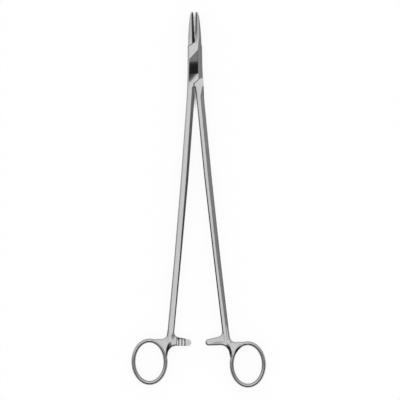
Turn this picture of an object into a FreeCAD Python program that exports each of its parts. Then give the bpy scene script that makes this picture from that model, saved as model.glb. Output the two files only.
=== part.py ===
"""Long box-lock needle holder, 30 cm, with ring handles and a ratchet.

Two forged halves cross in a box lock and turn on one pressed pin. The female half carries the right
jaw, the box with its mortise, and the left shank, ratchet arm and finger ring. The male half carries
the left jaw, the tongue that runs through the mortise, and the right shank, arm and ring.

Frame: millimetres, the pin's axis is Z, the jaws point to +Y, the handles to -Y, +Z is up, and the
underside of the box lies on z = 0. Every outline is drawn with the jaws shut, where the halves meet on
the plane x = 0. The male half is then turned about the pin by rest_opening.
"""
import FreeCAD, Part
import math
import os
import Sketcher

V = FreeCAD.Vector

# Driving dimensions, millimetres and degrees
SIZES = {
    # box lock
    "box_thickness": 7.6,
    "box_width_top": 11.0,
    "box_width_low": 12.2,
    "box_root_y": -18.0,
    "mortise_height": 2.9,
    "tongue_clearance": 0.05,
    "seam_left_y": 13.4,
    "seam_angle": 34.0,
    "seam_clearance": 0.1,
    "low_seam_left_x": -0.7,
    "low_seam_left_y": -15.6,
    "low_seam_right_x": 4.5,
    "low_seam_right_y": -11.0,
    "wall_low_y": 8.0,
    "wall_high_y": -7.5,
    "wall_gap": 0.3,
    "crotch_x": -1.1,
    "crotch_y": -16.0,
    "crotch_gap": 0.25,
    "tongue_root": 1.6,
    "seam_break": 0.2,
    "cheek_bevel": 1.2,
    "box_bevel": 3.2,
    # every long bevel has two facets: a shallow shoulder and a steeper edge
    "shoulder_share": 0.5,
    "shoulder_angle": 18.0,
    "edge_angle": 38.0,
    # pin
    "pin_diameter": 4.0,
    "pin_clearance": 0.05,
    # jaws
    "jaw_tip_y": 41.4,
    "jaw_gap": 0.08,
    "jaw_tip_width": 1.9,
    "jaw_tip_radius": 1.05,
    "jaw_nose_width": 2.95,
    "jaw_nose_length": 4.2,
    "jaw_root_width": 5.0,
    "jaw_root_y": 15.7,
    "jaw_back_radius": 175.0,
    "jaw_tip_thickness": 6.0,
    "jaw_taper_start_y": 11.0,
    "jaw_bevel_y": 20.0,
    "jaw_bevel": 1.8,
    "nose_bevel": 0.7,
    "flank_tip_width": 1.55,
    "flank_tip_drop": 1.3,
    "female_flank_root_width": 1.9,
    "female_flank_root_drop": 0.4,
    "male_flank_root_width": 2.0,
    "male_flank_root_drop": 1.7,
    "groove_width": 1.16,
    "groove_depth": 0.3,
    "groove_length": 14.0,
    "groove_setback": 4.9,
    # shanks, from the box down: place, width, thickness and bevel at each station
    "female_root_inner": 1.0,
    "female_root_outer": 6.0,
    "male_root_inner": -0.75,
    "male_root_outer": 6.35,
    "root_bevel": 1.2,
    "plain_share": 0.15,
    "broad_share": 0.72,
    "narrow_bevel": 1.0,
    "shank_neck_y": -26.0,
    "shank_neck_inner": 0.15,
    "shank_neck_outer": 6.3,
    "neck_thickness": 7.2,
    "neck_bevel": 2.5,
    "neck_bevel_broad": 2.9,
    "shank_upper_y": -90.0,
    "shank_upper_x": 7.4,
    "shank_upper_width": 5.94,
    "upper_thickness": 6.2,
    "upper_bevel": 2.0,
    "upper_bevel_broad": 3.0,
    "shank_lower_y": -155.0,
    "shank_lower_x": 12.5,
    "shank_lower_width": 5.46,
    "lower_thickness": 5.3,
    "lower_bevel": 1.3,
    "lower_bevel_broad": 2.9,
    "shank_end_y": -220.0,
    "shank_end_x": 18.05,
    "shank_end_width": 5.3,
    "end_thickness": 4.1,
    "end_bevel": 0.8,
    "end_bevel_broad": 2.2,
    # finger rings
    "ring_x": 34.2,
    "female_ring_y": -236.6,
    "male_ring_y": -239.7,
    "ring_hole_width": 22.2,
    "ring_hole_length": 30.3,
    "ring_band": 3.3,
    "ring_thickness": 4.7,
    "ring_tilt": 1.2,
    # web between shank, arm and ring
    "web_thickness": 3.9,
    "web_edge_radius": 1.5,
    "web_top_y": -208.0,
    "web_tuck": 0.1,
    "web_ring_depth": 1.5,
    "web_over_ring": 3.0,
    "web_level_end": 5.5,
    "web_round_end": 3.3,
    "web_round_drop": 1.5,
    "web_inner_fillet": 4.2,
    "web_outer_fillet": 4.5,
    "web_lower_fillet": 6.8,
    "web_lower_turn": 80.5,
    "web_tail_length": 11.0,
    # ratchet arms
    "arm_root_x": 13.0,
    "arm_nose_x": 3.75,
    "arm_low_y": -223.8,
    "arm_nose_radius": 2.65,
    "arm_taper": 10.9,
    "arm_pad_x": 5.8,
    "tooth_pitch": 2.4,
    "tooth_height": 0.6,
    "tooth_lock_width": 0.8,
    "tooth_overlap": 0.3,
    "dimple_x": 15.6,
    "dimple_y": -216.2,
    "dimple_length": 4.4,
    "dimple_width": 2.6,
    "dimple_depth": 0.35,
    # pose in which the part is made
    "rest_opening": 2.3,
}
TOOTH_COUNT = 3


class Size:
    """A number that also keeps the spreadsheet formula it came from."""

    def __init__(self, text, value):
        self.text = text
        self.value = value

    def __add__(self, other):
        other = as_size(other)
        return Size(f"({self.text} + {other.text})", self.value + other.value)

    def __sub__(self, other):
        other = as_size(other)
        return Size(f"({self.text} - {other.text})", self.value - other.value)

    def __mul__(self, other):
        other = as_size(other)
        return Size(f"({self.text} * {other.text})", self.value * other.value)

    def __truediv__(self, other):
        other = as_size(other)
        return Size(f"({self.text} / {other.text})", self.value / other.value)

    def __neg__(self):
        return Size(f"(0 - {self.text})", -self.value)

    def root(self):
        return Size(f"sqrt({self.text})", self.value ** 0.5)


def as_size(number):
    return number if isinstance(number, Size) else Size(f"({number})", float(number))


def tangent(angle):
    """Tangent of an angle given in degrees."""
    return Size(f"tan({angle.text} * 1 deg)", math.tan(math.radians(angle.value)))


def cosine(angle):
    """Cosine of an angle given in degrees."""
    return Size(f"cos({angle.text} * 1 deg)", math.cos(math.radians(angle.value)))


def sine(angle):
    """Sine of an angle given in degrees."""
    return Size(f"sin({angle.text} * 1 deg)", math.sin(math.radians(angle.value)))


doc = FreeCAD.newDocument("needle_holder")
sheet = doc.addObject("Spreadsheet::Sheet", "Sizes")
for row, (name, value) in enumerate(SIZES.items(), start=1):
    sheet.set(f"A{row}", name)
    sheet.set(f"B{row}", str(value))
    sheet.setAlias(f"B{row}", name)
doc.recompute()


class Named:
    """Gives each driving dimension as a Size: s.pin_diameter."""

    def __getattr__(self, name):
        return Size(f"Sizes.{name}", SIZES[name])


s = Named()
MIDDLE = s.box_thickness / 2


def bind(thing, prop, size):
    thing.setExpression(prop, as_size(size).text)


def new_body(name):
    body = doc.addObject("PartDesign::Body", name)
    body.Label = name
    return body


def new_sketch(body, name, plane, offset):
    """An empty sketch on one of the body's own planes, lifted along that plane's normal."""
    support = [part for part in body.Origin.OriginFeatures if part.Role == plane][0]
    sketch = body.newObject("Sketcher::SketchObject", name)
    sketch.AttachmentSupport = [(support, "")]
    sketch.MapMode = "FlatFace"
    bind(sketch, "AttachmentOffset.Base.z", offset)
    return sketch


def arc_between(start, end, radius, left):
    """Minor arc from start to end; left says that its centre lies left of the way from start to end."""
    chord = end - start
    half = chord.Length / 2
    away = (radius ** 2 - half ** 2) ** 0.5
    normal = V(-chord.y, chord.x, 0) / chord.Length
    centre = (start + end) / 2 + normal * (away if left else -away)
    first, last = (start, end) if left else (end, start)
    axis = V(1, 0, 0)
    angles = [V(p.x - centre.x, p.y - centre.y, 0) for p in (first, last)]
    sweep = [axis.getAngle(a) if a.y >= 0 else -axis.getAngle(a) for a in angles]
    return Part.ArcOfCircle(Part.Circle(centre, V(0, 0, 1), radius), sweep[0], sweep[1])


def outline(sketch, points, mirror=False):
    """Closed outline through the points, each fixed from the sheet.

    A point is (x, y), reached by a straight line, or (x, y, radius, side), reached by an arc of that
    radius whose centre lies on that side, "left" or "right", of the way from the point before.
    """
    points = [tuple(as_size(n) if i < 3 else n for i, n in enumerate(p)) for p in points]
    if mirror:
        swap = {"left": "right", "right": "left"}
        points = [(-p[0], p[1]) + ((p[2], swap[p[3]]) if len(p) == 4 else ()) for p in points]
    count = len(points)
    first = sketch.GeometryCount
    starts = []
    for i, point in enumerate(points):
        before = points[i - 1]
        start = V(before[0].value, before[1].value, 0)
        end = V(point[0].value, point[1].value, 0)
        if len(point) == 2:
            sketch.addGeometry(Part.LineSegment(start, end), False)
            starts.append((1, 2))
        else:
            left = point[3] == "left"
            sketch.addGeometry(arc_between(start, end, point[2].value, left), False)
            starts.append((1, 2) if left else (2, 1))
    for i in range(count):
        here = first + i
        after = first + (i + 1) % count
        sketch.addConstraint(Sketcher.Constraint(
            "Coincident", here, starts[i][1], after, starts[(i + 1) % count][0]))
    for i, point in enumerate(points):
        here = first + i
        for kind, size in (("DistanceX", point[0]), ("DistanceY", point[1])):
            index = sketch.addConstraint(Sketcher.Constraint(kind, here, starts[i][1], size.value))
            bind(sketch, f"Constraints[{index}]", size)
        if len(point) == 4:
            index = sketch.addConstraint(Sketcher.Constraint("Radius", here, point[2].value))
            bind(sketch, f"Constraints[{index}]", point[2])


def circle(sketch, x, y, radius):
    x, y, radius = as_size(x), as_size(y), as_size(radius)
    here = sketch.addGeometry(Part.Circle(V(x.value, y.value, 0), V(0, 0, 1), radius.value), False)
    for kind, size in (("DistanceX", x), ("DistanceY", y)):
        index = sketch.addConstraint(Sketcher.Constraint(kind, here, 3, size.value))
        bind(sketch, f"Constraints[{index}]", size)
    index = sketch.addConstraint(Sketcher.Constraint("Radius", here, radius.value))
    bind(sketch, f"Constraints[{index}]", radius)


def ellipse(sketch, x, y, width, length, tilt):
    """Oval with its long axis near the sketch's y axis, turned by tilt degrees."""
    lean = math.radians(90 + tilt.value)
    centre = V(x.value, y.value, 0)
    long_end = centre + V(math.cos(lean), math.sin(lean), 0) * (length.value / 2)
    short_end = centre + V(-math.sin(lean), math.cos(lean), 0) * (width.value / 2)
    here = sketch.addGeometry(Part.Ellipse(long_end, short_end, centre), False)
    sketch.exposeInternalGeometry(here)
    for kind, size in (("DistanceX", x), ("DistanceY", y)):
        index = sketch.addConstraint(Sketcher.Constraint(kind, here, 3, size.value))
        bind(sketch, f"Constraints[{index}]", size)
    for line, size in ((here + 1, length), (here + 2, width)):
        index = sketch.addConstraint(Sketcher.Constraint("Distance", line, size.value))
        bind(sketch, f"Constraints[{index}]", size)
    axis = sketch.Geometry[here + 1]
    rising = axis.EndPoint.y > axis.StartPoint.y
    turn = lean if rising else lean - math.pi
    index = sketch.addConstraint(Sketcher.Constraint("Angle", here + 1, turn))
    text = f"(90 + {tilt.text}) * 1 deg" if rising else f"({tilt.text} - 90) * 1 deg"
    sketch.setExpression(f"Constraints[{index}]", text)


def pad(body, name, sketch, length):
    """Pad by that length, half to each side of the sketch."""
    feature = body.newObject("PartDesign::Pad", name)
    feature.Profile = sketch
    feature.SideType = "Symmetric"
    bind(feature, "Length", length)
    doc.recompute()
    return feature


def pocket(body, name, sketch, length):
    """Pocket by that length, half to each side of the sketch; it has to take something away."""
    volume = body.Shape.Volume
    feature = body.newObject("PartDesign::Pocket", name)
    feature.Profile = sketch
    feature.SideType = "Symmetric"
    bind(feature, "Length", length)
    doc.recompute()
    if not body.Shape.Volume < volume:
        raise RuntimeError(name + " takes nothing away")
    return feature


def flat_edges(shape, heights, keep=None):
    """Names of the edges that lie wholly at one of the heights; keep says which of them count."""
    names = []
    for i, edge in enumerate(shape.Edges, start=1):
        box = edge.BoundBox
        level = any(abs(box.ZMin - z) < 1e-4 and abs(box.ZMax - z) < 1e-4 for z in heights)
        if level and (keep is None or keep(edge)):
            names.append(f"Edge{i}")
    return names


def is_oval(edge):
    return edge.Curve.TypeId not in ("Part::GeomLine", "Part::GeomCircle")


def edges_between(shape, places):
    """Names of the edges that run, seen from above, from one plan point to the next."""
    spots = [V(as_size(x).value, as_size(y).value, 0) for x, y in places]
    names = []
    for i, edge in enumerate(shape.Edges, start=1):
        ends = [V(vertex.X, vertex.Y, 0) for vertex in edge.Vertexes]
        for pair in zip(spots, spots[1:]):
            if len(ends) == 2 and any(
                    (ends[0] - a).Length < 1e-4 and (ends[1] - b).Length < 1e-4 for a, b in (pair, pair[::-1])):
                names.append(f"Edge{i}")
    return names


def round_edges(body, name, radius, edges):
    before = body.Tip
    feature = body.newObject("PartDesign::Fillet", name)
    feature.Base = (before, edges)
    bind(feature, "Radius", radius)
    doc.recompute()
    check(feature)


def break_edges(body, name, size, edges):
    """A small even chamfer."""
    before = body.Tip
    feature = body.newObject("PartDesign::Chamfer", name)
    feature.Base = (before, edges)
    bind(feature, "Size", size)
    doc.recompute()
    check(feature)


def facets(width, share=s.shoulder_share):
    """Shoulder width and drop, then edge width and drop, of a long bevel of that whole width."""
    shoulder = width * share
    edge = width - shoulder
    return shoulder, shoulder * tangent(s.shoulder_angle), edge, edge * tangent(s.edge_angle)


def bevel_section(x, top, width, outward):
    """What a two-facet bevel takes off a corner at x, top; outward is 1 with the air at +x, else -1."""
    shoulder, shoulder_drop, edge, edge_drop = facets(width)
    return [
        (x - (shoulder * 2 + edge) * outward, top + shoulder_drop),
        (x - edge * outward, top - shoulder_drop),
        (x + edge * outward, top - shoulder_drop - edge_drop * 2),
        (x + edge * outward, top + shoulder_drop),
    ]


def flank_section(x, top, width, drop, outward):
    """What one slanting plane takes off a corner at x, top."""
    return [
        (x - width * 2 * outward, top + drop),
        (x + width * outward, top - drop * 2),
        (x + width * outward, top + drop),
    ]


def trim(body, name, sections, mirror=False):
    """Takes a long corner off above and below, through the sections, each (y, points over the top)."""
    for side, turn in (("top", lambda z: z), ("underside", lambda z: s.box_thickness - z)):
        sketches = []
        for i, (y, points) in enumerate(sections):
            sketch = new_sketch(body, f"{name}_{side}_{i}", "XZ_Plane", -as_size(y))
            outline(sketch, [(x, turn(z)) for x, z in points], mirror=mirror)
            sketches.append(sketch)
        volume = body.Shape.Volume
        cut = body.newObject("PartDesign::SubtractiveLoft", f"{name}_{side}")
        cut.Profile = sketches[0]
        cut.Sections = sketches[1:]
        cut.Ruled = True
        doc.recompute()
        check(cut)
        if not body.Shape.Volume < volume:
            raise RuntimeError(name + " takes nothing away")


def check(thing):
    """Stops when a feature has failed without saying so."""
    if "Invalid" in thing.State or "Error" in thing.State:
        raise RuntimeError(thing.Name + " failed: " + str(thing.State))


def seam_height(x):
    """Y of the cheek's upper edge, where it meets the male jaw, at that x."""
    return s.seam_left_y + (x + s.box_width_top / 2) * tangent(s.seam_angle)


FACE_X = s.jaw_gap / 2
TIP_LOW_Y = s.jaw_tip_y - s.jaw_tip_radius + (
    s.jaw_tip_radius * s.jaw_tip_radius - s.jaw_tip_width * s.jaw_tip_width / 4).root()
FAR = s.box_width_low * 2


def jaw_points():
    """Right jaw from the outside of its root, over the back and the tip, to the top of its face."""
    return [
        (s.jaw_root_width, s.jaw_root_y),
        (s.jaw_nose_width, s.jaw_tip_y - s.jaw_nose_length, s.jaw_back_radius, "left"),
        (s.jaw_tip_width + FACE_X, TIP_LOW_Y),
        (FACE_X, TIP_LOW_Y, s.jaw_tip_radius, "left"),
    ]


def taper_jaws(body):
    """Takes the jaw down from the box's thickness to a rounded tip, seen from the side."""
    tip = s.jaw_tip_thickness / 2
    reach = s.box_thickness
    beyond = s.jaw_tip_y + tip
    sketch = new_sketch(body, body.Name + "_side", "YZ_Plane", 0)
    outline(sketch, [
        (s.jaw_taper_start_y, MIDDLE + reach),
        (s.jaw_taper_start_y, s.box_thickness),
        (s.jaw_tip_y - tip, MIDDLE + tip),
        (s.jaw_tip_y, MIDDLE, tip, "right"),
        (s.jaw_tip_y - tip, MIDDLE - tip, tip, "right"),
        (s.jaw_taper_start_y, 0),
        (s.jaw_taper_start_y, MIDDLE - reach),
        (beyond, MIDDLE - reach),
        (beyond, MIDDLE + reach),
    ])
    pocket(body, body.Name + "_taper", sketch, FAR)


def top_at(y):
    """Height of the jaws' upper side at y, past the start of its taper."""
    tip = s.jaw_tip_thickness / 2
    fall = (MIDDLE - tip) / (s.jaw_tip_y - tip - s.jaw_taper_start_y)
    return s.box_thickness - (y - s.jaw_taper_start_y) * fall


def bevel_jaw(body, start, mirror):
    """Outer bevels of a jaw, from the sections in start on to the tip, where they run out."""
    nose_y = s.jaw_tip_y - s.jaw_nose_length
    tip_y = s.jaw_tip_y + s.jaw_tip_radius
    trim(body, body.Name + "_outer_bevel", start + [
        (s.jaw_bevel_y, bevel_section(back_at(s.jaw_bevel_y), top_at(s.jaw_bevel_y), s.jaw_bevel, 1)),
        (nose_y, bevel_section(s.jaw_nose_width, top_at(nose_y), s.nose_bevel, 1)),
        (tip_y, bevel_section(s.jaw_tip_width, top_at(tip_y), s.nose_bevel, 1)),
    ], mirror=mirror)


def back_at(y):
    """Outside of a jaw at y, on the straight line from its root to its nose."""
    length = s.jaw_tip_y - s.jaw_nose_length - s.jaw_root_y
    return s.jaw_root_width - (s.jaw_root_width - s.jaw_nose_width) * (y - s.jaw_root_y) / length


def flank_jaw(body, root_width, root_drop, mirror):
    """Slanting inner flanks of a jaw, beside its gripping face."""
    tip_y = s.jaw_tip_y + s.jaw_tip_radius
    trim(body, body.Name + "_flank", [
        (s.jaw_root_y, flank_section(FACE_X, top_at(s.jaw_root_y), root_width, root_drop, -1)),
        (tip_y, flank_section(FACE_X, top_at(tip_y), s.flank_tip_width, s.flank_tip_drop, -1)),
    ], mirror=mirror)


def groove_jaw(body, mirror):
    """Spindle-shaped groove along the middle of a gripping face."""
    high = s.jaw_tip_y - s.groove_setback
    low = high - s.groove_length
    half = s.groove_width / 2
    radius = (s.groove_length * s.groove_length / 4 + half * half) / (half * 2)
    sketch = new_sketch(body, body.Name + "_groove_plan", "YZ_Plane", -FACE_X if mirror else FACE_X)
    outline(sketch, [
        (high, MIDDLE, radius, "left"),
        (low, MIDDLE, radius, "left"),
    ])
    pocket(body, body.Name + "_groove", sketch, s.groove_depth * 2)


def bore(body, diameter):
    sketch = new_sketch(body, body.Name + "_bore_circle", "XY_Plane", MIDDLE)
    circle(sketch, 0, 0, diameter / 2)
    pocket(body, body.Name + "_bore", sketch, s.box_thickness * 2)


def female_head():
    """Right jaw and box: two cheeks over and under the mortise, solid at the jaw and shank roots."""
    body = new_body("female_head")
    plan = new_sketch(body, "female_head_plan", "XY_Plane", MIDDLE)
    outline(plan, [
        (-s.female_root_inner, s.box_root_y),
        (s.crotch_x, s.crotch_y),
        (s.low_seam_left_x, s.low_seam_left_y),
        (s.low_seam_right_x, s.low_seam_right_y),
        (s.box_width_low / 2, s.low_seam_right_y),
        (s.box_width_top / 2, s.seam_left_y),
    ] + jaw_points() + [
        (FACE_X, seam_height(FACE_X)),
        (-s.box_width_top / 2, s.seam_left_y),
        (-s.female_root_outer, s.box_root_y),
    ])
    pad(body, "female_head_block", plan, s.box_thickness)
    taper_jaws(body)
    break_edges(body, "female_seam_breaks", s.seam_break, edges_between(body.Shape, [
        (FACE_X, seam_height(FACE_X)), (-s.box_width_top / 2, s.seam_left_y),
    ]) + edges_between(body.Shape, [
        (s.low_seam_left_x, s.low_seam_left_y), (s.low_seam_right_x, s.low_seam_right_y),
        (s.box_width_low / 2, s.low_seam_right_y),
    ]))
    below_seam = s.low_seam_right_y - s.box_bevel
    bevel_jaw(body, [
        (below_seam, bevel_section(s.box_width_low / 2, s.box_thickness, s.box_bevel, 1)),
        (s.jaw_taper_start_y, bevel_section(
            (s.box_width_top + s.jaw_root_width * 2) / 4, s.box_thickness, s.box_bevel, 1)),
    ], mirror=False)
    above_seam = s.seam_left_y + s.cheek_bevel
    trim(body, "cheek_bevel", [
        (s.box_root_y - s.cheek_bevel, bevel_section(
            s.female_root_outer, s.box_thickness, s.cheek_bevel, 1)),
        (s.wall_high_y, bevel_section(s.female_root_outer, s.box_thickness, s.cheek_bevel, 1)),
        (above_seam, bevel_section(s.box_width_top / 2, s.box_thickness, s.cheek_bevel, 1)),
    ], mirror=True)
    flank_jaw(body, s.female_flank_root_width, s.female_flank_root_drop, mirror=False)
    groove_jaw(body, mirror=False)
    mortise = new_sketch(body, "mortise_plan", "XY_Plane", MIDDLE)
    (right_x, right_y), (left_x, left_y) = wall_ends(0)
    (inner_x, inner_y), (outer_x, outer_y) = back_wall_ends(0)
    outline(mortise, [
        (left_x, left_y),
        (-FAR, left_y),
        (-FAR, outer_y),
        (outer_x, outer_y),
        (inner_x, inner_y),
        (FAR, inner_y),
        (FAR, right_y),
        (right_x, right_y),
    ])
    pocket(body, "mortise", mortise, s.mortise_height)
    bore(body, s.pin_diameter)
    return body


def along(start, end, share):
    """Point on the line from start to end; share 1 is the end, more lies beyond it."""
    return tuple(a + (b - a) * share for a, b in zip(start, end))


def wall_line(drop):
    """The mortise's front wall, from the box's right side up to the jaw face, lowered by drop."""
    return ((s.box_width_top / 2, s.wall_low_y - drop), (FACE_X, seam_height(FACE_X) - drop))


def back_wall_line(lift):
    """The mortise's back wall, from the crotch up to the box's left side, lifted by lift."""
    return ((s.crotch_x, s.crotch_y + lift), (-s.box_width_low / 2, s.wall_high_y + lift))


def wall_ends(drop):
    """The front wall's line, run past both ends by a third of its length."""
    low, high = wall_line(drop)
    return along(high, low, 1.33), along(low, high, 1.33)


def back_wall_ends(lift):
    low, high = back_wall_line(lift)
    return along(high, low, 1.33), along(low, high, 1.33)


def male_head():
    """Left jaw, tongue and shank root; the tongue fills the mortise with a running clearance."""
    body = new_body("male_head")
    lift = s.seam_clearance / cosine(s.seam_angle)
    jaw = new_sketch(body, "male_jaw_plan", "XY_Plane", MIDDLE)
    outline(jaw, [
        (FACE_X, seam_height(-FACE_X) + lift),
        (s.box_width_top / 2, s.seam_left_y + lift),
    ] + jaw_points(), mirror=True)
    pad(body, "male_jaw_block", jaw, s.box_thickness)
    taper_jaws(body)
    break_edges(body, "male_seam_breaks", s.seam_break, edges_between(body.Shape, [
        (-FACE_X, seam_height(-FACE_X) + lift), (-s.box_width_top / 2, s.seam_left_y + lift),
    ]))
    bevel_jaw(body, [
        (s.jaw_taper_start_y, bevel_section(s.box_width_top / 2, s.box_thickness, s.cheek_bevel, 1)),
    ], mirror=True)
    flank_jaw(body, s.male_flank_root_width, s.male_flank_root_drop, mirror=True)
    groove_jaw(body, mirror=True)
    tongue = new_sketch(body, "tongue_plan", "XY_Plane", MIDDLE)
    front_low, front_high = wall_line(s.wall_gap)
    back_low, back_high = back_wall_line(s.wall_gap)
    step = s.tongue_root
    root_left = s.crotch_x + s.crotch_gap / 2
    outline(tongue, [
        (-FACE_X, front_high[1]),
        (-FACE_X, seam_height(-FACE_X) + step),
        (-s.jaw_root_width, seam_height(-s.jaw_root_width) + step),
        (-s.box_width_top / 2, s.seam_left_y),
        back_high,
        (root_left, back_low[1]),
        (root_left, s.crotch_y - step),
        (s.low_seam_right_x, s.low_seam_right_y - step * 2),
        (s.box_width_low / 2, s.low_seam_right_y - step),
        front_low,
    ])
    pad(body, "tongue", tongue, s.mortise_height - s.tongue_clearance * 2)
    corner_x = s.box_width_low / 2
    swing = (corner_x * corner_x + s.low_seam_right_y * s.low_seam_right_y).root() + s.seam_clearance
    rise = s.low_seam_right_y - s.low_seam_left_y
    run = s.low_seam_right_x - s.low_seam_left_x
    slope = rise / run
    secant = (slope * slope + 1).root()
    # the shoulder's line is y = slope * x + base, and it meets the swing circle left of the corner
    base = s.low_seam_left_y - slope * s.low_seam_left_x - secant * s.seam_clearance
    reach = (secant * secant * swing * swing - base * base).root()
    meet_x = -(slope * base + reach) / (secant * secant)
    root = new_sketch(body, "male_root_plan", "XY_Plane", MIDDLE)
    outline(root, [
        (s.male_root_inner, s.box_root_y),
        (s.male_root_outer, s.box_root_y),
        (corner_x, -(swing * swing - corner_x * corner_x).root()),
        (meet_x, slope * meet_x + base, swing, "right"),
        (root_left, slope * root_left + base),
    ])
    pad(body, "male_root_block", root, s.box_thickness)
    bore(body, s.pin_diameter + s.pin_clearance * 2)
    return body


def edge_and_drops(bevel, share):
    """Width of a bevel's edge facet, height lost over its shoulder, and height lost in all."""
    _, shoulder_drop, edge, edge_drop = facets(bevel, share)
    return edge, shoulder_drop, shoulder_drop + edge_drop


def station(body, name, y, inner, outer, thickness, bevels, mirror):
    """One section of a shank; bevels holds the inner bevel's width and shoulder share, then the outer's."""
    sketch = new_sketch(body, name, "XZ_Plane", -y)
    top = MIDDLE + thickness / 2
    low = MIDDLE - thickness / 2
    in_bevel, in_share, out_bevel, out_share = bevels
    in_edge, in_shoulder_drop, in_drop = edge_and_drops(in_bevel, in_share)
    out_edge, out_shoulder_drop, out_drop = edge_and_drops(out_bevel, out_share)
    outline(sketch, [
        (inner, low + in_drop),
        (inner + in_edge, low + in_shoulder_drop),
        (inner + in_bevel, low),
        (outer - out_bevel, low),
        (outer - out_edge, low + out_shoulder_drop),
        (outer, low + out_drop),
        (outer, top - out_drop),
        (outer - out_edge, top - out_shoulder_drop),
        (outer - out_bevel, top),
        (inner + in_bevel, top),
        (inner + in_edge, top - in_shoulder_drop),
        (inner, top - in_drop),
    ], mirror=mirror)
    return sketch


def web_points(ring_y, shank_inner, shank_outer):
    """Web and ratchet arm from the top of its inner edge, round the arm and the ring, back up."""
    lean = (s.shank_end_x - s.shank_lower_x) / (s.shank_lower_y - s.shank_end_y)
    # arm: rounded nose, level lower edge, upper edge rising to the root
    nose_y = s.arm_low_y + s.arm_nose_radius
    top_x = s.arm_nose_x - s.arm_nose_radius * sine(s.arm_taper)
    top_y = nose_y + s.arm_nose_radius * cosine(s.arm_taper)
    inner_x = shank_inner - lean * (s.shank_end_y - s.arm_low_y + s.web_inner_fillet)
    root_x = inner_x - s.web_inner_fillet * (-sine(s.arm_taper) + 1)
    root_y = top_y + (root_x - top_x) * tangent(s.arm_taper)
    # lower fillet and the tail that runs down into the ring's band
    turn_x = s.arm_root_x + s.web_lower_fillet * sine(s.web_lower_turn)
    turn_y = s.arm_low_y - s.web_lower_fillet * (-cosine(s.web_lower_turn) + 1)
    tail_x = turn_x + s.web_tail_length * cosine(s.web_lower_turn)
    tail_y = turn_y - s.web_tail_length * sine(s.web_lower_turn)
    # upper edge: level, then an arc that runs down into the band past the ring's top
    level_y = ring_y + s.ring_hole_length / 2 + s.web_over_ring
    level_x = s.ring_x - s.web_level_end
    over_x = s.ring_x + s.web_round_end
    over_y = level_y - s.web_round_drop
    across = over_x - level_x
    down = s.web_round_drop
    outer_x = shank_outer - lean * (level_y - s.shank_end_y) - s.web_tuck
    outer_top_x = shank_outer - lean * (s.web_top_y - s.shank_end_y) - s.web_tuck
    return [
        (inner_x, s.web_top_y),
        (inner_x, root_y + s.web_inner_fillet * cosine(s.arm_taper)),
        (root_x, root_y, s.web_inner_fillet, "right"),
        (top_x, top_y),
        (s.arm_nose_x, s.arm_low_y, s.arm_nose_radius, "left"),
        (s.arm_root_x, s.arm_low_y),
        (turn_x, turn_y, s.web_lower_fillet, "right"),
        (tail_x, tail_y),
        (s.ring_x, ring_y),
        (over_x, over_y),
        (level_x, level_y, (across * across + down * down) / (down * 2), "left"),
        (outer_x + s.web_outer_fillet, level_y),
        (outer_x, level_y + s.web_outer_fillet, s.web_outer_fillet, "right"),
        (outer_top_x, s.web_top_y),
    ]


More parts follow.
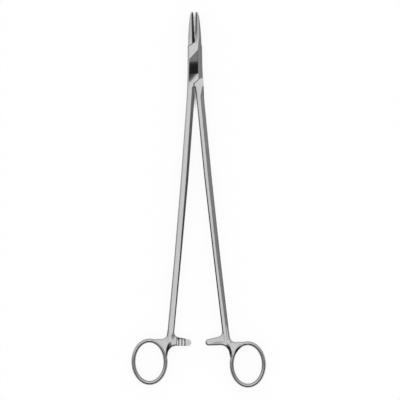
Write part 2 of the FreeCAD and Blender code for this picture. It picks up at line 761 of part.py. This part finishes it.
def handle(name, mirror, ring_y, root_inner, root_outer, is_female):
    """Shank, ratchet arm, web and finger ring, drawn for the right side and mirrored for the left."""
    body = new_body(name)
    shank_inner = s.shank_end_x - s.shank_end_width / 2
    shank_outer = s.shank_end_x + s.shank_end_width / 2
    band = s.ring_band
    web = new_sketch(body, name + "_web_plan", "XY_Plane", MIDDLE)
    outline(web, web_points(ring_y, shank_inner, shank_outer), mirror=mirror)
    pad(body, name + "_web", web, s.web_thickness)
    ring_x = -s.ring_x if mirror else s.ring_x
    tilt = s.ring_tilt if mirror else -s.ring_tilt
    # the web ends inside the ring's band
    hole = new_sketch(body, name + "_web_end", "XY_Plane", MIDDLE)
    ellipse(hole, ring_x, ring_y, s.ring_hole_width + s.web_ring_depth,
            s.ring_hole_length + s.web_ring_depth, tilt)
    pocket(body, name + "_web_opening", hole, s.box_thickness * 2)
    heights = [(MIDDLE + s.web_thickness / 2).value, (MIDDLE - s.web_thickness / 2).value]
    shortest = s.web_edge_radius.value * 2
    inside_shank = s.web_top_y.value - s.web_edge_radius.value

    def is_outer(edge):
        return not is_oval(edge) and edge.Length > shortest and edge.BoundBox.YMin < inside_shank

    round_edges(body, name + "_edges", s.web_edge_radius, flat_edges(body.Shape, heights, is_outer))
    spine = new_sketch(body, name + "_ring_path", "XY_Plane", MIDDLE)
    ellipse(spine, ring_x, ring_y, s.ring_hole_width + band, s.ring_hole_length + band, tilt)
    # the section stands where the oval path starts, at the far end of its long axis
    reach = (s.ring_hole_length + band) / 2
    section = new_sketch(body, name + "_ring_section", "YZ_Plane", ring_x - reach * sine(tilt))
    ellipse(section, ring_y + reach * cosine(tilt), MIDDLE, band, s.ring_thickness, as_size(0))
    ring = body.newObject("PartDesign::AdditivePipe", name + "_ring")
    ring.Profile = section
    ring.Spine = (spine, ["Edge1"])
    doc.recompute()

    def bevels(inside, outside):
        """Inner and outer bevel there: inside is the female's main one, outside the male's."""
        if is_female:
            return inside, s.plain_share, s.narrow_bevel, s.shoulder_share
        return s.narrow_bevel, s.plain_share, outside, s.broad_share

    sections = [
        station(body, name + "_at_root", s.box_root_y, root_inner, root_outer,
                s.box_thickness, bevels(s.root_bevel, s.root_bevel), mirror),
        station(body, name + "_at_neck", s.shank_neck_y, s.shank_neck_inner, s.shank_neck_outer,
                s.neck_thickness, bevels(s.neck_bevel, s.neck_bevel_broad), mirror),
        station(body, name + "_at_upper", s.shank_upper_y,
                s.shank_upper_x - s.shank_upper_width / 2, s.shank_upper_x + s.shank_upper_width / 2,
                s.upper_thickness, bevels(s.upper_bevel, s.upper_bevel_broad), mirror),
        station(body, name + "_at_lower", s.shank_lower_y,
                s.shank_lower_x - s.shank_lower_width / 2, s.shank_lower_x + s.shank_lower_width / 2,
                s.lower_thickness, bevels(s.lower_bevel, s.lower_bevel_broad), mirror),
        station(body, name + "_at_end", s.shank_end_y, shank_inner, shank_outer,
                s.end_thickness, bevels(s.end_bevel, s.end_bevel_broad), mirror),
    ]
    shank = body.newObject("PartDesign::AdditiveLoft", name + "_shank")
    shank.Profile = sections[0]
    shank.Sections = sections[1:]
    shank.Ruled = True
    doc.recompute()
    cut_teeth(body, name, mirror, is_female)
    if is_female:
        press_dimple(body, mirror)
    return body


def press_dimple(body, mirror):
    """Shallow oval dimple on the web, at the arm's root."""
    sketch = new_sketch(body, "dimple_plan", "XY_Plane", MIDDLE + s.web_thickness / 2)
    x = -s.dimple_x if mirror else s.dimple_x
    ellipse(sketch, x, s.dimple_y, s.dimple_width, s.dimple_length, as_size(0))
    pocket(body, "dimple", sketch, s.dimple_depth * 2)


def cut_teeth(body, name, mirror, teeth_up):
    """Takes the arm down to half thickness and leaves saw teeth on the side that meets the other arm."""
    up = 1 if teeth_up else -1
    crest = MIDDLE + s.tooth_overlap * up
    valley = crest - s.tooth_height * up
    clear = crest + s.web_thickness * up
    points = [(-s.arm_nose_x, clear), (-s.arm_nose_x, crest)]
    for i in range(TOOTH_COUNT):
        x = s.arm_pad_x + s.tooth_pitch * i
        points += [(x, crest), (x + s.tooth_lock_width, valley)]
    root_x = s.arm_pad_x + s.tooth_pitch * TOOTH_COUNT
    points += [(root_x, crest), (root_x, clear)]
    middle_y = s.arm_low_y + s.arm_nose_radius
    sketch = new_sketch(body, name + "_teeth_profile", "XZ_Plane", -middle_y)
    outline(sketch, points, mirror=mirror)
    pocket(body, name + "_teeth", sketch, s.arm_nose_radius * 4)


def join(name, pieces):
    node = doc.addObject("Part::MultiFuse", name)
    node.Shapes = pieces
    node.Refine = True
    node.Label = name
    return node


female = join("female_half", [female_head(), handle(
    "female_handle", True, s.female_ring_y, s.female_root_inner, s.female_root_outer, True)])
male = join("male_half", [male_head(), handle(
    "male_handle", False, s.male_ring_y, s.male_root_inner, s.male_root_outer, False)])
male.setExpression("Placement.Rotation.Angle", s.rest_opening.text + " * 1 deg")
pin = doc.addObject("Part::Cylinder", "hinge_pin")
bind(pin, "Radius", s.pin_diameter / 2)
bind(pin, "Height", s.box_thickness)
doc.recompute()

for thing in doc.Objects:
    check(thing)
os.makedirs("parts", exist_ok=True)
for node in (female, male, pin):
    shape = node.Shape
    if shape.isNull() or not shape.isValid() or len(shape.Solids) != 1:
        raise RuntimeError(node.Label + " isn't one sound solid")
    shape.exportStep(f"parts/{node.Label}.step")
    print(node.Label, round(shape.Volume, 1), shape.BoundBox)
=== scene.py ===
"""Looks of a 30 cm box-lock needle holder: satin surgical steel lying on a plain pale floor."""

import math

import bpy
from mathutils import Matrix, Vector


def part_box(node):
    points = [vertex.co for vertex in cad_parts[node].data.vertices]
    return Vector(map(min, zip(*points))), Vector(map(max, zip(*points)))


MM = 0.001
WHITE = (1, 1, 1, 1)
BLACK = (0, 0, 0, 1)

# The photograph's frame, in its own pixels, its scale, and how far the instrument leans in it
FRAME_PIXELS = 400
PIXELS_PER_MM = 1.26
PIVOT_PIXEL = (195.0, 64.0)
ROLL = math.radians(0.46)

# The camera looks straight down through a long lens
LENS = 200.0
SENSOR = 36.0
FARTHEST = 20.0

# White light from all sides
WORLD_LEVEL = 1.0

# Paper floor. In a narrow gap over it the paper's own white fades out, a painted shade added to its real
# shade, so the gap turns from dark to white as its share of open sky grows
FLOOR_COLOUR = 0.97
FLOOR_OWN = 0.9
FLOOR_ROUGHNESS = 0.9
FLOOR_SIZE = 6.0
FLOOR_DROP = 0.05 * MM
FLOOR_GAP = 4 * MM
FLOOR_SKY = (0.24, 0.33)

# Screens that the steel reflects: their distance from the set's middle, which lies on the y axis
SET_MIDDLE = -0.11
SCREEN_DISTANCE = 1.5

# Grey of the screens at each direction (0 is right, 90 far, 180 left, 270 near) and elevation
SCREEN_ELEVATIONS = (0, 30, 48, 60, 70, 76)
SCREEN_GREYS = (
    (357, (0.06, 0.07, 0.24, 0.52, 1.0, 1.0)),
    (6, (0.30, 0.28, 0.18, 0.36, 1.0, 1.0)),
    (14, (0.36, 0.32, 0.22, 0.40, 0.9, 1.0)),
    (40, (0.60, 0.60, 0.70, 0.85, 1.0, 1.0)),
    (90, (0.85, 0.85, 0.85, 0.95, 1.0, 1.0)),
    (140, (0.80, 0.80, 0.80, 0.95, 1.0, 1.0)),
    (170, (0.65, 0.65, 0.75, 0.90, 1.0, 1.0)),
    (176, (0.45, 0.45, 0.60, 0.85, 1.0, 1.0)),
    (184, (0.08, 0.08, 0.26, 0.66, 1.0, 1.0)),
    (192, (0.04, 0.05, 0.22, 0.60, 1.0, 1.0)),
    (220, (0.10, 0.05, 0.12, 0.40, 0.8, 1.0)),
    (250, (0.10, 0.02, 0.04, 0.30, 0.6, 1.0)),
    (290, (0.10, 0.01, 0.02, 0.30, 0.6, 1.0)),
    (315, (0.05, 0.01, 0.03, 0.30, 0.7, 1.0)),
    (348, (0.05, 0.06, 0.20, 0.50, 1.0, 1.0)),
)

# Steel: colour, and roughness with its spread either way over the brushing
STEEL = (0.6, 0.6, 0.605)
ROUGHNESS = 0.22
ROUGHNESS_SPREAD = 0.05

# Brushing along the instrument, blotches and waves: scale in 1/m, tones and depths
NOISE_RANGE = (0.3, 0.7)
BRUSH_SCALE = (3000, 160, 3000)
BRUSH_TONES = (0.93, 1.04)
BRUSH_DEPTH = 0.004 * MM
BLOTCH_SCALE = 90.0
BLOTCH_TONES = (-0.03, 0.03)
WAVE_SCALE = 35.0
WAVE_DEPTH = 0.05 * MM

# Painted shade on the sides and in narrow gaps: how upright a face's normal is, how much sky a gap sees, and
# the tones of that painted shade
SIDE_UPRIGHT = (0.45, 0.78)
SIDE_PAINTED_SHADE = 0.4
GAP_REACH = 0.8 * MM
GAP_SKY = (0.35, 0.75)
GAP_PAINTED_SHADE = 0.35

# Painted shade on the jaws' flanks: how far a face is turned inward, and where the jaws begin along y
FLANK_TURN = (0.2, 0.4)
FLANK_PAINTED_SHADE = 0.35
FLANK_START = (16 * MM, 18 * MM)

# Dark reflection on the box's top, got by tilting its normal: a steep dip that ends below along a
# slanted line, and a gentler fall above it. The top itself is flat
BOX_UPRIGHT = (0.95, 0.99)
BOX_START = (-20 * MM, -13 * MM)
DIP_LOW = -12.5 * MM
DIP_SKEW = 1.4
DIP_HIGH = 2.5 * MM
DIP_SLOPE = 0.22
FALL_LOW = -8.0 * MM
FALL_HIGH = 8.7 * MM
FALL_SKEW = 1.1
FALL_SLOPE = 0.22

# Oval hollows in the upper side, darkened inside by painted shade, in mm: middle, half width, half length,
# lean in degrees, depth, tone of the painted shade
FEMALE_HOLLOWS_AND_SHADE = (
    ((-15.6, -216.5, 5.75), 1.9, 3.0, 0, 0.35, 0.55),
    ((-12.9, -221.6, 3.6), 0.7, 3.8, 0, 0.05, 0.2),
    ((-19.0, -226.2, 5.75), 2.2, 7.0, -15, 0.8, 0.35),
    ((2.5, 2.0, 7.6), 0.5, 13.5, 1, 0.03, 0.6),
)
MALE_HOLLOWS_AND_SHADE = (
    ((28.9, -227.4, 5.75), 2.2, 7.0, 17, 0.8, 0.35),
    ((35.4, -226.3, 5.75), 1.5, 6.0, -36, 0.6, 0.4),
    ((30.2, -220.8, 5.75), 0.35, 0.8, 75, 0.2, 0.4),
    ((19.5, -221.0, 5.75), 1.6, 7.5, -85, 0.03, 0.7),
)
HOLLOW_HALF_HEIGHT = 3
HOLLOW_EDGE = (0.0, 0.6)

# Ratchet teeth, in mm: middle of each half's, and half the size of the region that holds them
FEMALE_TEETH = (-9.4, -221.3, 5.75)
MALE_TEETH = (18.3, -220.7, 1.85)
TEETH_REACH = (6.5, 5.0, 4.0)
TEETH_EDGE = (0.0, 0.3)

# Their ground faces: turned outward are the polished lands, made paler by a painted highlight, turned inward
# the lock faces, made dark by painted shade
GROUND_TURN = (-0.2, 0.35)
GROUND_LIGHT_AND_SHADE = (1.25, 0.25)
LAND_TURN = (-0.3, -0.1)
LAND_LEVEL = 0.75

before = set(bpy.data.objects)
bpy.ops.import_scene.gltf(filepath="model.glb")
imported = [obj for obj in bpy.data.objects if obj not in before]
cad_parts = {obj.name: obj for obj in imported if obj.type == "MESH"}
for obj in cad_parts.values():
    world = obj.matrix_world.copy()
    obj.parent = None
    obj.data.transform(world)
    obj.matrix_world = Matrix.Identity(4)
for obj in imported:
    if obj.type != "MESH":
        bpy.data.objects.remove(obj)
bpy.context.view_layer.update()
MIDDLE = (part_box("hinge_pin")[0].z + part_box("hinge_pin")[1].z) / 2


class Shader:
    """Short calls for the nodes of one material."""

    def __init__(self, name):
        self.material = bpy.data.materials.new(name)
        self.material.use_nodes = True
        self.nodes = self.material.node_tree.nodes
        self.links = self.material.node_tree.links
        self.surface = self.nodes["Principled BSDF"].inputs

    def put(self, value, socket):
        """Gives a socket its number or colour, or links it to another node's output."""
        if isinstance(value, bpy.types.NodeSocket):
            self.links.new(value, socket)
        else:
            socket.default_value = value

    def add(self, kind, **values):
        """The outputs of a new node of that kind. A value goes to the socket or the setting of its name."""
        node = self.nodes.new(kind)
        for name, value in values.items():
            socket = node.inputs.get(name)
            if socket is None:
                setattr(node, name, value)
            else:
                self.put(value, socket)
        return node.outputs

    def maths(self, operation, first, second=0.0):
        node = self.nodes.new("ShaderNodeMath")
        node.operation = operation
        self.put(first, node.inputs[0])
        self.put(second, node.inputs[1])
        return node.outputs[0]

    def product(self, *values):
        result = values[0]
        for value in values[1:]:
            result = self.maths("MULTIPLY", result, value)
        return result

    def span(self, value, source, target, soft=False):
        """The value, spread from the range source to the range target, with soft ends or not."""
        node = self.nodes.new("ShaderNodeMapRange")
        node.interpolation_type = "SMOOTHSTEP" if soft else "LINEAR"
        for name, number in zip(("From Min", "From Max", "To Min", "To Max"), source + target):
            node.inputs[name].default_value = number
        self.put(value, node.inputs["Value"])
        return node.outputs["Result"]

    def grey(self, level):
        return self.add("ShaderNodeCombineColor", Red=level, Green=level, Blue=level)["Color"]

    def noise(self, place, scale, detail):
        return self.add("ShaderNodeTexNoise", Vector=place, Scale=scale, Detail=detail)["Fac"]


class Steel(Shader):
    """Satin steel, with its tone and the normal of its surface changed step by step."""

    def __init__(self, name):
        super().__init__(name)
        coordinates = self.add("ShaderNodeTexCoord")
        self.place = coordinates["Object"]
        self.across = self.add("ShaderNodeSeparateXYZ", Vector=self.place)
        self.facing = self.add("ShaderNodeSeparateXYZ", Vector=coordinates["Normal"])
        self.upright = self.maths("ABSOLUTE", self.facing["Z"])
        self.normal = self.add("ShaderNodeNewGeometry")["Normal"]
        along = self.add("ShaderNodeMapping", Vector=self.place, Scale=BRUSH_SCALE)["Vector"]
        self.brush = self.add("ShaderNodeTexNoise", Vector=along, Scale=1.0, Detail=4.0, Roughness=0.6)["Fac"]
        blotches = self.noise(self.place, BLOTCH_SCALE, 2.0)
        self.tone = self.maths("ADD", self.span(self.brush, NOISE_RANGE, BRUSH_TONES),
                               self.span(blotches, NOISE_RANGE, BLOTCH_TONES))

    def bump(self, height, distance, strength=1.0, invert=False):
        self.normal = self.add("ShaderNodeBump", Height=height, Distance=distance, Strength=strength,
                               invert=invert, Normal=self.normal)["Normal"]

    def within(self, middle, half, lean=0):
        """How deep inside an oval region a point lies: 0 from its edge out, 1 in the middle."""
        inside = self.add("ShaderNodeMapping", vector_type="TEXTURE", Vector=self.place,
                          Location=Vector(middle) * MM, Rotation=(0, 0, math.radians(lean)),
                          Scale=Vector(half) * MM)["Vector"]
        reach = self.add("ShaderNodeVectorMath", operation="LENGTH", Vector=inside)["Value"]
        return self.span(reach, (0.0, 1.0), (1.0, 0.0), soft=True)

    def paint_shade_on_sides_and_gaps(self):
        # painted shade: steep sides and narrow gaps get a darker colour where shade would fall
        sides = self.span(self.upright, SIDE_UPRIGHT, (SIDE_PAINTED_SHADE, 1.0), soft=True)
        sky = self.add("ShaderNodeAmbientOcclusion", Distance=GAP_REACH, samples=4)["AO"]
        self.tone = self.product(self.tone, sides, self.span(sky, GAP_SKY, (GAP_PAINTED_SHADE, 1.0)))

    def paint_shade_on_flank(self, turned):
        """Paints shade on the jaw's face that is turned inward, as a darker colour."""
        flank = self.product(self.span(turned, FLANK_TURN, (0.0, 1.0), soft=True),
                             self.span(self.across["Y"], FLANK_START, (0.0, 1.0), soft=True))
        self.tone = self.product(self.tone, self.span(flank, (0.0, 1.0), (1.0, FLANK_PAINTED_SHADE)))

    def paint_light_and_shade_on_teeth(self, middle, turned):
        """Paints shade on the teeth's lock faces and a highlight on their lands, and levels the lands'
        normals so that they shine nearly as a level face does.
        """
        share = self.span(self.within(middle, TEETH_REACH), TEETH_EDGE, (0.0, 1.0))
        # painted highlight on the lands and painted shade on the lock faces, as tones of the colour
        ground = self.span(turned, GROUND_TURN, GROUND_LIGHT_AND_SHADE, soft=True)
        change = self.product(self.maths("SUBTRACT", ground, 1.0), share)
        self.tone = self.product(self.tone, self.maths("ADD", change, 1.0))
        land = self.product(self.span(turned, LAND_TURN, (LAND_LEVEL, 0.0), soft=True), share)
        kept = self.maths("SUBTRACT", 1.0, land)
        levelled = self.nodes.new("ShaderNodeVectorMath")
        levelled.operation = "MULTIPLY"
        self.put(self.normal, levelled.inputs[0])
        self.put(self.add("ShaderNodeCombineXYZ", X=kept, Y=kept, Z=1.0)["Vector"], levelled.inputs[1])
        self.normal = self.add("ShaderNodeVectorMath", operation="NORMALIZE",
                               Vector=levelled.outputs["Vector"])["Vector"]

    def brush_and_wave(self):
        self.bump(self.brush, BRUSH_DEPTH)
        self.bump(self.noise(self.place, WAVE_SCALE, 1.0), WAVE_DEPTH)

    def hollow_and_shade(self, middle, half_width, half_length, lean, depth, tone):
        inside = self.within(middle, (half_width, half_length, HOLLOW_HALF_HEIGHT), lean)
        # painted shade: the colour darkens towards the hollow's middle
        self.tone = self.product(self.tone, self.span(inside, HOLLOW_EDGE, (1.0, tone)))
        self.bump(inside, depth * MM, invert=True)

    def polish_box(self):
        """Tilts the normal of the box's flat top, from its upper end down: level, a fall, a steeper dip."""
        x = self.across["X"]
        y = self.across["Y"]
        low = self.maths("ADD", self.product(x, DIP_SKEW), DIP_LOW)
        reach = self.maths("SUBTRACT", DIP_HIGH, low)
        share = self.maths("DIVIDE", self.maths("SUBTRACT", DIP_HIGH, y), reach)
        dip = self.product(self.span(share, (0.0, 1.0), (0.0, DIP_SLOPE), soft=True), reach)
        line = self.maths("ADD", self.product(x, FALL_SKEW), FALL_HIGH)
        fallen = self.maths("SUBTRACT", line, self.maths("MAXIMUM", y, FALL_LOW))
        fall = self.product(self.maths("MAXIMUM", fallen, 0.0), FALL_SLOPE)
        on_box = self.product(self.span(self.upright, BOX_UPRIGHT, (0.0, 1.0), soft=True),
                              self.span(y, BOX_START, (0.0, 1.0), soft=True))
        self.bump(self.maths("ADD", dip, fall), 1.0, on_box, invert=True)

    def finish(self):
        """The material, once all steps are done."""
        colour = self.nodes.new("ShaderNodeCombineColor")
        for channel, level in zip(("Red", "Green", "Blue"), STEEL):
            self.put(self.product(self.tone, level), colour.inputs[channel])
        range_of_roughness = (ROUGHNESS - ROUGHNESS_SPREAD, ROUGHNESS + ROUGHNESS_SPREAD)
        self.put(colour.outputs["Color"], self.surface["Base Color"])
        self.put(1.0, self.surface["Metallic"])
        self.put(self.span(self.brush, NOISE_RANGE, range_of_roughness), self.surface["Roughness"])
        self.put(self.normal, self.surface["Normal"])
        return self.material


def dress(node, inward=1, teeth=None, hollows_and_shade=(), on_box=False):
    """Gives a node its steel. The node's inner side faces inward: 1 or -1 along x."""
    steel = Steel(node + "_satin_steel")
    turned = steel.product(steel.facing["X"], inward)
    steel.paint_shade_on_sides_and_gaps()
    steel.paint_shade_on_flank(turned)
    if teeth:
        steel.paint_light_and_shade_on_teeth(teeth, turned)
    steel.brush_and_wave()
    for hollow_and_shade in hollows_and_shade:
        steel.hollow_and_shade(*hollow_and_shade)
    if on_box:
        steel.polish_box()
    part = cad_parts[node]
    part.data.materials.clear()
    part.data.materials.append(steel.finish())


def floor():
    bpy.ops.mesh.primitive_plane_add(size=FLOOR_SIZE, location=(0, 0, -FLOOR_DROP))
    plane = bpy.context.object
    plane.name = "floor"
    paper = Shader("floor_paper")
    path = paper.add("ShaderNodeLightPath")
    # seen by the camera and in the steel, most of the paper's white is its own, but in narrow gaps that white
    # fades out as painted shade
    shown = paper.maths("MAXIMUM", path["Is Camera Ray"], path["Is Glossy Ray"])
    sky = paper.add("ShaderNodeAmbientOcclusion", Distance=FLOOR_GAP, samples=8)["AO"]
    level = paper.maths("SUBTRACT", FLOOR_COLOUR, paper.product(shown, FLOOR_OWN * FLOOR_COLOUR))
    paper.put(paper.grey(level), paper.surface["Base Color"])
    paper.put(WHITE, paper.surface["Emission Color"])
    paper.put(paper.product(shown, paper.span(sky, FLOOR_SKY, (0.0, FLOOR_OWN))),
              paper.surface["Emission Strength"])
    paper.put(FLOOR_ROUGHNESS, paper.surface["Roughness"])
    paper.put(0.0, paper.surface["Specular IOR Level"])
    plane.data.materials.append(paper.material)


def surround():
    """Screens round the set that only the steel reflects: dark on the near side, paler far and high up."""
    points = []
    levels = []
    faces = []
    rows = len(SCREEN_ELEVATIONS)
    for i, (azimuth, greys) in enumerate(SCREEN_GREYS):
        angle = math.radians(azimuth)
        x = SCREEN_DISTANCE * math.cos(angle)
        y = SCREEN_DISTANCE * math.sin(angle) + SET_MIDDLE
        for elevation in SCREEN_ELEVATIONS:
            points.append((x, y, SCREEN_DISTANCE * math.tan(math.radians(elevation))))
        levels.extend(greys)
        following = (i + 1) % len(SCREEN_GREYS)
        for k in range(rows - 1):
            faces.append((i * rows + k, following * rows + k, following * rows + k + 1, i * rows + k + 1))
    mesh = bpy.data.meshes.new("surround")
    mesh.from_pydata(points, [], faces)
    mesh.attributes.new("grey", "FLOAT", "POINT").data.foreach_set("value", levels)
    screens = bpy.data.objects.new("surround", mesh)
    bpy.context.scene.collection.objects.link(screens)
    cloth = Shader("surround_cloth")
    cloth.put(BLACK, cloth.surface["Base Color"])
    cloth.put(0.0, cloth.surface["Specular IOR Level"])
    cloth.put(WHITE, cloth.surface["Emission Color"])
    cloth.put(cloth.add("ShaderNodeAttribute", attribute_name="grey")["Fac"],
              cloth.surface["Emission Strength"])
    mesh.materials.append(cloth.material)
    for ray in ("camera", "diffuse", "transmission", "volume_scatter", "shadow"):
        setattr(screens, "visible_" + ray, False)


def surrounding_light():
    world = bpy.data.worlds.new("studio")
    world.use_nodes = True
    background = world.node_tree.nodes["Background"]
    background.inputs["Color"].default_value = WHITE
    background.inputs["Strength"].default_value = WORLD_LEVEL
    bpy.context.scene.world = world


def camera():
    """Looks straight down, turned and placed so that the pin lies at its pixel of the photograph."""
    data = bpy.data.cameras.new("camera")
    data.lens = LENS
    data.sensor_width = SENSOR
    data.clip_end = FARTHEST
    eye = bpy.data.objects.new("camera", data)
    bpy.context.scene.collection.objects.link(eye)
    half = FRAME_PIXELS / 2
    across = (half - PIVOT_PIXEL[0]) / PIXELS_PER_MM * MM
    up = (PIVOT_PIXEL[1] - half) / PIXELS_PER_MM * MM
    distance = FRAME_PIXELS / PIXELS_PER_MM * MM * LENS / SENSOR
    eye.location = (across * math.cos(ROLL) - up * math.sin(ROLL),
                    across * math.sin(ROLL) + up * math.cos(ROLL), MIDDLE + distance)
    eye.rotation_euler = (0, 0, ROLL)
    bpy.context.scene.camera = eye


camera()
surrounding_light()
surround()
floor()
dress("female_half", -1, FEMALE_TEETH, FEMALE_HOLLOWS_AND_SHADE, on_box=True)
dress("male_half", 1, MALE_TEETH, MALE_HOLLOWS_AND_SHADE)
dress("hinge_pin", on_box=True)

bpy.context.scene.view_settings.view_transform = "Standard"
